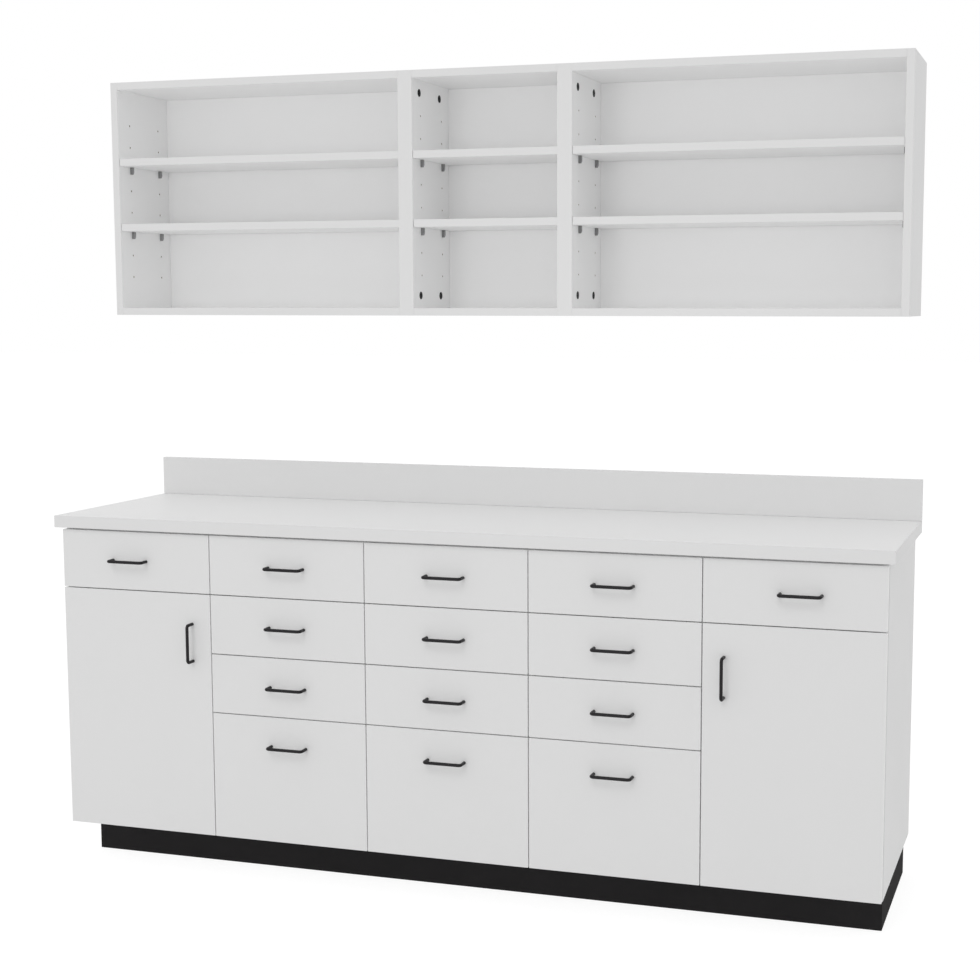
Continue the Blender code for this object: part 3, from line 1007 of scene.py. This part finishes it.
# Screws of a hinge arm: from its rear end, from its middle, the part they are in, and their size
ARM_SCREWS = (
    (0.012, 0.0, ARM_BODY),
    (0.030, 0.0, ARM_BODY),
    (0.023, 0.0155, ARM_PLATE),
    (0.023, -0.0155, ARM_PLATE),
)
ARM_SCREW = 0.85


class CABINET_OT_doors(bpy.types.Operator):
    """Doors bored for their hinge cups, with the cups, bumpers and the pulls' screws"""

    bl_idname = "cabinet.doors"
    bl_label = "Doors"

    def execute(self, context):
        sizes = settings()[0]
        head = screw_mesh("door_screw", sizes.screw, sizes.screw * DOMED_HEAD)
        for side, way in DOORS.items():
            node = f"door_{side}"
            low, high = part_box(node)
            hinge_x, free_x = (low.x, high.x) if way > 0 else (high.x, low.x)
            cup_x = hinge_x + way * (sizes.cup_edge + sizes.cup / 2)
            heights = [
                sum(corner.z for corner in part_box(f"hinge_{side}_{end}")) / 2
                for end in SHELF_LEVELS
            ]
            cutters = bmesh.new()
            floor_y = FRONT_BACK_Y - sizes.cup_depth
            for z in heights:
                start = (cup_x, FRONT_BACK_Y + DRILL_START, z)
                add_rod(cutters, (cup_x, floor_y, z), start, sizes.cup / 2, CUP_SIDES, BARE)
            board_piece(f"panel_{node}", low, high, [node], cutters, FRONT_FINISH,
                        "front_laminate", node, sizes.front_ease)
            self.cups(sizes, node, way, cup_x, heights, head)
            self.fittings(node, free_x - way * BUMPER_EDGE, low, high, head)
        bpy.data.meshes.remove(head)
        return {"FINISHED"}

    def cups(self, sizes, node, way, cup_x, heights, head):
        """Pressed hinge cups with their screwed wings, let into a door."""
        radius = sizes.cup / 2 - CUP_PLAY
        inner = radius - CUP_SHEET
        rim = radius + CUP_RIM
        floor = CUP_PLAY - sizes.cup_depth
        bend = CUP_CORNER + CUP_SHEET / 2
        cup = bmesh.new()
        outline = [
            (0, floor), (radius - CUP_CORNER, floor), (radius, floor + CUP_CORNER),
            (radius, 0), (rim, CUP_PLAY), (rim, WING), (inner, WING), (inner, 0),
            (inner, floor + bend), (radius - bend, floor + CUP_SHEET), (0, floor + CUP_SHEET),
        ]
        add_turned(cup, outline, CUP_SIDES)
        shell = mesh_from(cup, "cup_shell")
        wing_x = sorted(cup_x + way * reach for reach in WING_SIDES)
        face = FRONT_BACK_Y
        bm = bmesh.new()
        for z in heights:
            stamp(bm, shell, (cup_x, face, z), REARWARD)
            for side in (-1, 1):
                wing_z = sorted((z + side * (radius + WING_GAP), z + side * WING_END))
                low = (wing_x[0], face + CUP_PLAY / 2, wing_z[0])
                high = (wing_x[1], face + WING, wing_z[1])
                add_board(bm, low, high, WING_EASE)
                middle = (sum(wing_x) / 2, face + WING, z + side * WING_SCREW)
                stamp(bm, head, middle, REARWARD)
            pin_x = hinge_face(way) + way * LINK_REACH
            pin_y = FRONT_BACK_Y - sizes.cup_depth + PIN_PLACE
            half = sizes.link_apart / 2 + sizes.link_sheet * PIN_THROUGH
            ends = [(pin_x, pin_y, z + side * half) for side in (-1, 1)]
            add_rod(bm, *ends, PIN_RADIUS, PIN_SIDES)
        bpy.data.meshes.remove(shell)
        name = f"hinge_cups_{node}"
        finish_piece(name, bm, ["hinge_nickel"], node, smooth=ROUND)

    def fittings(self, node, bumper_x, low, high, head):
        """Screws of the pull on the inner face, and bumpers along the free edge."""
        pull_low, pull_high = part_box(f"pull_{node}")
        bar = (pull_high.x - pull_low.x) / 2
        y = FRONT_BACK_Y
        screws = [(pull_low.x + bar, y, z) for z in (pull_low.z + bar, pull_high.z - bar)]
        bumpers = [(bumper_x, y, z) for z in (low.z + BUMPER_END, high.z - BUMPER_END)]
        fitting_piece(f"{node}_fittings", node, head, screws, bumpers)


class CABINET_OT_hinges(bpy.types.Operator):
    """Hinge arms on their plates, screwed to the end panels"""

    bl_idname = "cabinet.hinges"
    bl_label = "Hinge arms"

    def execute(self, context):
        sizes = settings()[0]
        head = screw_mesh("hinge_screw", sizes.screw * ARM_SCREW, sizes.screw * FLAT_HEAD)
        for side, way in DOORS.items():
            face = hinge_face(way)
            nodes = [f"hinge_{side}_{end}" for end in SHELF_LEVELS]
            for node in nodes:
                self.arm(node, face, way, head)
            self.links(sizes, side, face + way * LINK_REACH, nodes)
        bpy.data.meshes.remove(head)
        return {"FINISHED"}

    def arm(self, node, face, way, head):
        """One arm: plate, body, neck into the cup, and its screws."""
        low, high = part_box(node)
        middle = (low.z + high.z) / 2
        bm = bmesh.new()
        for (near, far, half, ease), start, stop in (
            (ARM_PLATE, high.y - PLATE_LENGTH, high.y),
            (ARM_BODY, low.y + BODY_START, high.y - BODY_STOP),
            (ARM_NECK, low.y + NECK_START, low.y + NECK_STOP),
        ):
            x = sorted((face + way * near, face + way * far))
            corners = ((x[0], start, middle - half), (x[1], stop, middle + half))
            add_board(bm, *corners, ease, segments=3)
        for back, rise, part in ARM_SCREWS:
            place = (face + way * part[1], high.y - back, middle + rise)
            stamp(bm, head, place, (way, 0, 0))
        name = node.replace("hinge", "hinge_arm")
        finish_piece(name, bm, ["hinge_nickel"], "cabinet", [node], smooth=ROUND)

    def links(self, sizes, side, x, nodes):
        """Link plates on both sides of each neck, cut into many steps along their length."""
        across = Vector((sizes.link_width / 2, 0, sizes.link_sheet / 2))
        bm = bmesh.new()
        for node in nodes:
            low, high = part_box(node)
            tip, root = low.y + LINK_TIP, low.y + sizes.link_root
            for turn in (-1, 1):
                z = (low.z + high.z) / 2 + turn * (sizes.link_apart + sizes.link_sheet) / 2
                ends = [Vector((x, y, z)) for y in (tip, root)]
                add_board(bm, ends[0] - across, ends[1] + across, sizes.link_sheet * LINK_EASE)
        long = [edge for edge in bm.edges if edge.calc_length() > sizes.link_root / 2]
        bmesh.ops.subdivide_edges(bm, edges=long, cuts=sizes.link_steps, use_grid_fill=True)
        name = f"hinge_links_{side}"
        piece = finish_piece(name, bm, ["hinge_nickel"], None, smooth=ROUND)
        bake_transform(piece)


# Sides of a pull's bar and steps round its bends
BAR_SIDES = 24
BEND_STEPS = 10


class CABINET_OT_pulls(bpy.types.Operator):
    """Bent bar pulls on the drawers and doors"""

    bl_idname = "cabinet.pulls"
    bl_label = "Pulls"

    def execute(self, context):
        for node in sorted(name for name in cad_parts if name.startswith("pull_")):
            low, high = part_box(node)
            label = node.removeprefix("pull_")
            upright = label.startswith("door")
            body = label if upright else f"drawer_{label}"
            bar = (high.x - low.x) if upright else (high.z - low.z)
            span = (high.z - low.z) if upright else (high.x - low.x)
            bm = bmesh.new()
            self.bent_bar(bm, span - bar, high.y - low.y, bar / 2)
            middle = (low + high) / 2
            place = Matrix.Translation((middle.x, high.y, middle.z))
            if upright:
                place = place @ Matrix.Rotation(math.pi / 2, 4, "Y")
            bmesh.ops.transform(bm, matrix=place, verts=bm.verts)
            finish_piece(f"bar_{node}", bm, ["pull_coat"], body, [node], smooth=ROUND)
        return {"FINISHED"}

    def bent_bar(self, bm, centres, reach, radius):
        """A round bar along X, bent toward its feet at y = 0."""
        sizes = settings()[0]
        bend = sizes.pull_bend
        half = centres / 2
        leg = reach - radius - bend
        start = Matrix.Translation((-half, 0, 0)) @ Matrix.Rotation(math.pi / 2, 4, "X")
        bmesh.ops.create_circle(
            bm, cap_ends=True, segments=BAR_SIDES, radius=radius, matrix=start
        )
        rim = list(bm.edges)
        rim = self.straight(bm, rim, (0, -leg, 0))
        rim = self.corner(bm, rim, (bend - half, -leg, 0))
        rim = self.straight(bm, rim, (centres - 2 * bend, 0, 0))
        rim = self.corner(bm, rim, (half - bend, -leg, 0))
        rim = self.straight(bm, rim, (0, leg, 0))
        bmesh.ops.edgeloop_fill(bm, edges=rim)
        bmesh.ops.recalc_face_normals(bm, faces=bm.faces)

    def straight(self, bm, rim, way):
        """Draw the bar's end along a line."""
        grown = bmesh.ops.extrude_edge_only(bm, edges=rim)["geom"]
        verts = [item for item in grown if isinstance(item, bmesh.types.BMVert)]
        bmesh.ops.translate(bm, vec=way, verts=verts)
        return [item for item in grown if isinstance(item, bmesh.types.BMEdge)]

    def corner(self, bm, rim, centre):
        """Bend the bar's end through a right angle."""
        verts = {vert for edge in rim for vert in edge.verts}
        turned = bmesh.ops.spin(
            bm,
            geom=[*verts, *rim],
            cent=centre,
            axis=(0, 0, 1),
            angle=math.pi / 2,
            steps=BEND_STEPS,
            use_merge=False,
            use_duplicate=False,
        )["geom_last"]
        return [item for item in turned if isinstance(item, bmesh.types.BMEdge)]


class CABINET_OT_cupboard_shelves(bpy.types.Operator):
    """Loose shelves behind the doors"""

    bl_idname = "cabinet.cupboard_shelves"
    bl_label = "Cupboard shelves"

    def execute(self, context):
        for side in DOORS:
            node = f"cupboard_shelf_{side}"
            board_piece(f"board_{node}", *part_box(node), [node])
        return {"FINISHED"}


class CABINET_OT_wall_boxes(bpy.types.Operator):
    """Open wall boxes: two drilled sides, a top, a bottom and a back each"""

    bl_idname = "cabinet.wall_boxes"
    bl_label = "Wall boxes"

    def execute(self, context):
        sizes = settings()[0]
        seam = sizes.seam
        for box in WALL_BOXES:
            node = f"wall_box_{box}"
            low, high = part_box(node)
            rows = shelf_rows(sizes, low.y, high.y)
            heights = [
                low.z + sizes.hole_first + step * sizes.hole_pitch
                for step in range(sizes.hole_count)
            ]
            inner = (low.x + PANEL, high.x - PANEL)
            outer = self.outer_faces(low.x, high.x)
            look = {"ease": sizes.wall_ease}
            for side, x, face, way in (
                ("left", (outer[0], inner[0]), inner[0], -1),
                ("right", (inner[1], outer[1]), inner[1], 1),
            ):
                holes = [((face, y, z), (way, 0, 0)) for y in rows for z in heights]
                corners = ((x[0], low.y, low.z), (x[1], high.y, high.z))
                stands_for = [node] if side == "left" else ()
                drills = hole_cutters(sizes, holes)
                # The inner face takes the lighter inside white: painted light
                painted_light_sides = [Vector((-way, 0, 0))]
                name = f"wall_{box}_side_{side}"
                board_piece(name, *corners, stands_for, drills, painted_light_sides=painted_light_sides, **look)
            start, stop = inner[0] + seam, inner[1] - seam
            for name, y, z, inside in (
                ("bottom", low.y, (low.z, low.z + PANEL), (0, 0, 1)),
                ("top", low.y, (high.z - PANEL, high.z), (0, 0, -1)),
                (
                    "back",
                    high.y - sizes.wall_back,
                    (low.z + PANEL + seam, high.z - PANEL - seam),
                    (0, -1, 0),
                ),
            ):
                corners = ((start, y, z[0]), (stop, high.y, z[1]))
                board_piece(f"wall_{box}_{name}", *corners, painted_light_sides=[Vector(inside)], **look)
        return {"FINISHED"}

    def outer_faces(self, low, high):
        """X of a box's outer faces, drawn out to meet the box beside it."""
        ends = sorted(corner.x for box in WALL_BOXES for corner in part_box(f"wall_box_{box}"))
        before, after = ends.index(low), ends.index(high)
        left = (ends[before - 1] + low) / 2 if before > 0 else low
        right = (ends[after + 1] + high) / 2 if after < len(ends) - 1 else high
        return left, right


class CABINET_OT_wall_shelves(bpy.types.Operator):
    """Loose shelves in the wall boxes"""

    bl_idname = "cabinet.wall_shelves"
    bl_label = "Wall shelves"

    def execute(self, context):
        sizes = settings()[0]
        for box in WALL_BOXES:
            for end in SHELF_LEVELS:
                node = f"wall_shelf_{box}_{end}"
                # Both faces of a shelf take the lighter inside white: painted light
                painted_light_sides = [Vector((0, 0, 1)), Vector((0, 0, -1))]
                look = {"ease": sizes.wall_ease, "painted_light_sides": painted_light_sides}
                board_piece(f"board_{node}", *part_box(node), [node], **look)
        return {"FINISHED"}


# Shelf supports: play under the shelf, in the hole's end and beside the board, share of the
# height above the slope and of the reach below it, rounding, and the hollow web's rim and depth
SUPPORT_TOP_PLAY = 0.0003
PIN_END_PLAY = 0.0010
SUPPORT_PLAY = 0.0001
SUPPORT_SLOPE = 0.7
SUPPORT_EASE = 0.0005
WEB_RIM = 0.0012
WEB_DEPTH = 0.0016


class CABINET_OT_supports(bpy.types.Operator):
    """Grey shelf supports with a hollow web, plugged into their holes"""

    bl_idname = "cabinet.supports"
    bl_label = "Shelf supports"

    def execute(self, context):
        sizes = settings()[0]
        for box in WALL_BOXES:
            low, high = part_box(f"wall_box_{box}")
            rows = shelf_rows(sizes, low.y, high.y)
            faces = ((low.x + PANEL, 1), (high.x - PANEL, -1))
            for end in SHELF_LEVELS:
                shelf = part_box(f"wall_shelf_{box}_{end}")
                self.set_of(sizes, f"supports_wall_{box}_{end}", faces, rows, shelf[0].z)
        for side, bay in (("left", 0), ("right", LAST_BAY)):
            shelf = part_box(f"cupboard_shelf_{side}")
            rows = shelf_rows(sizes, shelf[0].y, CASE_BACK[0].y)
            faces = ((BAYS[bay][0], 1), (BAYS[bay][1], -1))
            self.set_of(sizes, f"supports_cupboard_{side}", faces, rows, shelf[0].z)
        return {"FINISHED"}

    def set_of(self, sizes, name, faces, rows, underside):
        """The four supports of one shelf."""
        top = underside - SUPPORT_TOP_PLAY
        reach = sizes.support_reach
        height = sizes.support_height
        half = sizes.support_width / 2
        pin_z = top - sizes.support_pin
        pin = sizes.hole / 2 - SUPPORT_PLAY
        outline = [
            (SUPPORT_PLAY, 0.0), (reach, 0.0), (reach, -SUPPORT_SLOPE * height),
            (SUPPORT_SLOPE * reach, -height), (SUPPORT_PLAY, -height),
        ]
        bm = bmesh.new()
        for face, way in faces:
            start = face - way * (sizes.hole_depth - PIN_END_PLAY)
            end = face - way * SUPPORT_PLAY
            for y in rows:
                corners = [(face + way * x, y - half, top + z) for x, z in outline]
                grown = grow(
                    bm, lambda: add_profile(bm, corners, (0, 2 * half, 0), SUPPORT_EASE)
                )
                webs = [item for item in grown if abs(item.normal.y) > FLAT]
                bmesh.ops.inset_region(bm, faces=webs, thickness=WEB_RIM, depth=-WEB_DEPTH)
                add_rod(bm, (start, y, pin_z), (end, y, pin_z), pin, PIN_SIDES)
        finish_piece(name, bm, ["support_plastic"], "cabinet")


class CABINET_OT_bolts(bpy.types.Operator):
    """Heads of the black bolts that join neighbouring wall boxes"""

    bl_idname = "cabinet.bolts"
    bl_label = "Connecting bolts"

    def execute(self, context):
        sizes = settings()[0]
        head = bolt_mesh("bolt_head", sizes.bolt_head, sizes.bolt_proud)
        for first, second in zip(WALL_BOXES, WALL_BOXES[1:]):
            low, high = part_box(f"wall_box_{first}")
            rows = (low.y + sizes.bolt_front, high.y - sizes.bolt_rear)
            faces = ((high.x - PANEL, -1), (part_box(f"wall_box_{second}")[0].x + PANEL, 1))
            bm = bmesh.new()
            for face, way in faces:
                for y in rows:
                    for z in (low.z + sizes.bolt_row, high.z - sizes.bolt_row):
                        stamp(bm, head, (face, y, z), (way, 0, 0))
            name = f"bolts_{first}_{second}"
            finish_piece(name, bm, ["bolt_coat"], "cabinet", smooth=ROUND)
        bpy.data.meshes.remove(head)
        return {"FINISHED"}


# Stage


# Lamps: sides of the soft box, spread of the far lamp, their places and tilts
SOFT_BOX = (1.5, 1.0)
FAR_SPREAD = math.radians(26)
FRONT_PLACE = (-0.9, -6.0, 1.2)
FRONT_TILT = math.radians(90)
FAR_PLACE = (0.0, -6.0, 5.4)
FAR_TILT = math.radians(48)

# Floor: half its side, how far it lies under the plinth, its dullness
FLOOR_HALF = 40.0
FLOOR_DROP = 0.0005
FLOOR_ROUGHNESS = 0.9
SENSOR = 36.0
WHITE = (1.0, 1.0, 1.0, 1.0)


class CABINET_OT_stage(bpy.types.Operator):
    """Camera, soft studio light and a pale floor"""

    bl_idname = "cabinet.stage"
    bl_label = "Stage"

    def execute(self, context):
        scene = context.scene
        colours, studio = settings()[1:]
        scene.view_settings.view_transform = "Standard"
        scene.cycles.diffuse_bounces = studio.bounces
        self.camera(scene, studio)
        self.sky(scene, studio)
        self.lamps(scene, studio)
        self.floor(scene, colours, studio)
        return {"FINISHED"}

    def camera(self, scene, studio):
        """The photograph's viewpoint."""
        data = bpy.data.cameras.new("camera")
        data.sensor_width = SENSOR
        data.lens = studio.lens
        data.shift_x, data.shift_y = studio.shift
        camera = bpy.data.objects.new("camera", data)
        camera.location = studio.place
        camera.rotation_euler = studio.turn
        scene.collection.objects.link(camera)
        scene.camera = camera

    def seen(self, tree):
        """1 for rays from the eye, also by way of gloss or glass."""
        rays = tree.nodes.new("ShaderNodeLightPath")
        value = rays.outputs["Is Camera Ray"]
        for name in ("Is Glossy Ray", "Is Transmission Ray"):
            value = add_math(tree, "MAXIMUM", value, rays.outputs[name])
        return value

    def sky(self, scene, studio):
        """Even light from all round, plain white to the eye."""
        world = bpy.data.worlds.new("studio")
        world.use_nodes = True
        scene.world = world
        tree = world.node_tree
        tree.nodes.clear()
        light = tree.nodes.new("ShaderNodeBackground")
        light.inputs["Color"].default_value = WHITE
        light.inputs["Strength"].default_value = studio.sky
        white = tree.nodes.new("ShaderNodeBackground")
        white.inputs["Color"].default_value = WHITE
        mix = tree.nodes.new("ShaderNodeMixShader")
        out = tree.nodes.new("ShaderNodeOutputWorld")
        tree.links.new(self.seen(tree), mix.inputs["Fac"])
        tree.links.new(light.outputs[0], mix.inputs[1])
        tree.links.new(white.outputs[0], mix.inputs[2])
        tree.links.new(mix.outputs[0], out.inputs["Surface"])

    def lamps(self, scene, studio):
        """A soft box in front and a far soft lamp above it."""
        box = bpy.data.lights.new("front_lamp", "AREA")
        box.shape = "RECTANGLE"
        box.size, box.size_y = SOFT_BOX
        box.energy = studio.front_lamp
        far = bpy.data.lights.new("top_lamp", "SUN")
        far.energy = studio.top_lamp
        far.angle = FAR_SPREAD
        for data, place, tilt in (
            (box, FRONT_PLACE, FRONT_TILT),
            (far, FAR_PLACE, FAR_TILT),
        ):
            lamp = bpy.data.objects.new(data.name, data)
            lamp.location = place
            lamp.rotation_euler = (tilt, 0, 0)
            lamp.visible_camera = False
            scene.collection.objects.link(lamp)

    def floor(self, scene, colours, studio):
        """Pale floor, white to the eye but for a faint shadow under the plinth."""
        bm = bmesh.new()
        place = Matrix.Translation((0, 0, PLINTH[0].z - FLOOR_DROP))
        bmesh.ops.create_grid(bm, x_segments=1, y_segments=1, size=FLOOR_HALF, matrix=place)
        floor = bpy.data.objects.new("floor", mesh_from(bm, "floor"))
        scene.collection.objects.link(floor)
        material = bpy.data.materials.new("studio_floor")
        material.use_nodes = True
        tree = material.node_tree
        shader = tree.nodes["Principled BSDF"]
        shader.inputs["Roughness"].default_value = FLOOR_ROUGHNESS
        shader.inputs["Specular IOR Level"].default_value = 0.0
        shader.inputs["Emission Color"].default_value = WHITE
        seen = self.seen(tree)
        tone = tree.nodes.new("ShaderNodeMix")
        tone.data_type = "RGBA"
        tone.inputs["A"].default_value = (*colours.floor, 1.0)
        tone.inputs["B"].default_value = (*[studio.floor_shade] * 3, 1.0)
        glow = add_math(tree, "MULTIPLY", seen, studio.floor_glow)
        tree.links.new(seen, tone.inputs["Factor"])
        tree.links.new(tone.outputs["Result"], shader.inputs["Base Color"])
        tree.links.new(glow, shader.inputs["Emission Strength"])
        floor.data.materials.append(material)


OPERATORS = (
    CABINET_OT_finishes,
    CABINET_OT_worktop,
    CABINET_OT_plinth,
    CABINET_OT_case,
    CABINET_OT_slides,
    CABINET_OT_drawers,
    CABINET_OT_doors,
    CABINET_OT_hinges,
    CABINET_OT_pulls,
    CABINET_OT_cupboard_shelves,
    CABINET_OT_wall_boxes,
    CABINET_OT_wall_shelves,
    CABINET_OT_supports,
    CABINET_OT_bolts,
    CABINET_OT_stage,
)
GROUPS = {
    "cabinet_sizes": CabinetSizes,
    "cabinet_finishes": CabinetFinishes,
    "cabinet_studio": CabinetStudio,
}


class CABINET_PT_sidebar(bpy.types.Panel):
    """The cabinet's values and the steps that build it"""

    bl_idname = "CABINET_PT_sidebar"
    bl_label = "Pharmacy cabinet"
    bl_space_type = "VIEW_3D"
    bl_region_type = "UI"
    bl_category = "Cabinet"

    def draw(self, context):
        for name in GROUPS:
            group = getattr(context.scene, name)
            box = self.layout.box()
            for value in group.__annotations__:
                box.prop(group, value)
        for operator in OPERATORS:
            self.layout.operator(operator.bl_idname)


CLASSES = (*GROUPS.values(), *OPERATORS, CABINET_PT_sidebar)


def register():
    """Register the classes and the values on the scene."""
    for entry in CLASSES:
        bpy.utils.register_class(entry)
    for name, group in GROUPS.items():
        setattr(bpy.types.Scene, name, PointerProperty(type=group))


def unregister():
    """Take away what register added."""
    for name in GROUPS:
        delattr(bpy.types.Scene, name)
    for entry in reversed(CLASSES):
        bpy.utils.unregister_class(entry)


def main():
    """Build every piece in order."""
    register()
    for operator in OPERATORS:
        group, name = operator.bl_idname.split(".")
        getattr(getattr(bpy.ops, group), name)()


if __name__ == "__main__":
    main()
